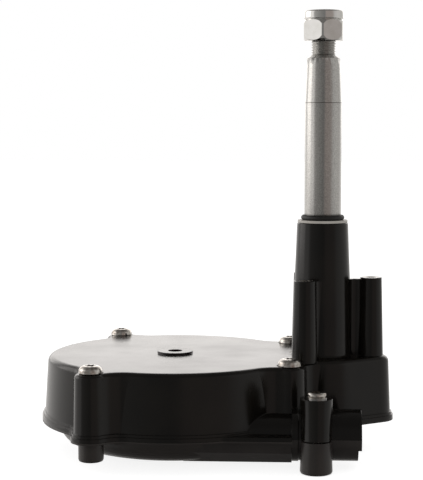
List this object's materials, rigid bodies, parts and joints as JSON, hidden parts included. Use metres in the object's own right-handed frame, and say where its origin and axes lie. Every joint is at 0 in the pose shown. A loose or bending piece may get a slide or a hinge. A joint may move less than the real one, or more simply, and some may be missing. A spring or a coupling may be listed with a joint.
{
  "type": "boat steering helm",
  "caption": "Mechanical cable steering helm: round drum case, tapered wheel shaft on a tower, mounting bosses and a split cable tube with a clamp.",
  "frame": {"origin": "on the steering shaft's axis, in the plane of the three mounting faces", "axes": "+Z out along the shaft to the wheel, -X from the shaft to the drum, -Y to the cable tube, which opens to +X"},
  "size_m": [0.184, 0.1468, 0.2269],
  "materials": {
    "housing_paint": "satin black",
    "shaft_steel": "turned, satin",
    "plated_steel": "bright zinc plate",
    "inner_steel": "plain",
    "drum_alloy": "die cast, matte",
    "insert_metal": "plain",
    "bearing_nylon": "matte",
    "collar_nylon": "matte",
    "seal_rubber": "matte black"
  },
  "bodies": {
    "housing": {"front_housing": "housing_paint", "back_cover": "housing_paint", "housing_seal": "seal_rubber", "drum_axle": "inner_steel", "drum_washer": "bearing_nylon", "spring_washer": "inner_steel", "wave_spring": "inner_steel", "cable_guide": "bearing_nylon", "upper_bush": "bearing_nylon", "lower_bush": "bearing_nylon", "shaft_washer": "bearing_nylon", "mount_inserts": "insert_metal", "cover_screws": "plated_steel", "cover_nuts": "plated_steel", "clamp_screw": "plated_steel", "clamp_washer": "plated_steel", "clamp_nut": "plated_steel"},
    "drum": {"cable_drum": "drum_alloy", "cable_stop": "inner_steel", "drum_bush": "bearing_nylon"},
    "shaft": {"steering_shaft": "shaft_steel", "pinion": "inner_steel", "pinion_key": "inner_steel", "shaft_circlip": "inner_steel", "shaft_seal": "seal_rubber", "wheel_key": "shaft_steel", "wheel_nut": "plated_steel", "nut_insert": "collar_nylon"}
  },
  "joints": [
    {"name": "drum_spin", "type": "hinge", "parent": "housing", "child": "drum", "pos_m": [-0.077, 0, -0.0735], "axis": [0, 0, 1], "range_deg": [-145, 145]},
    {"name": "shaft_spin", "type": "hinge", "parent": "housing", "child": "shaft", "pos_m": [0, 0, 0], "axis": [0, 0, 1], "range_deg": [-512, 512]}
  ],
  "couplings": [
    {"joint": "shaft_spin", "follows": "drum_spin", "ratio": -3.5294}
  ]
}
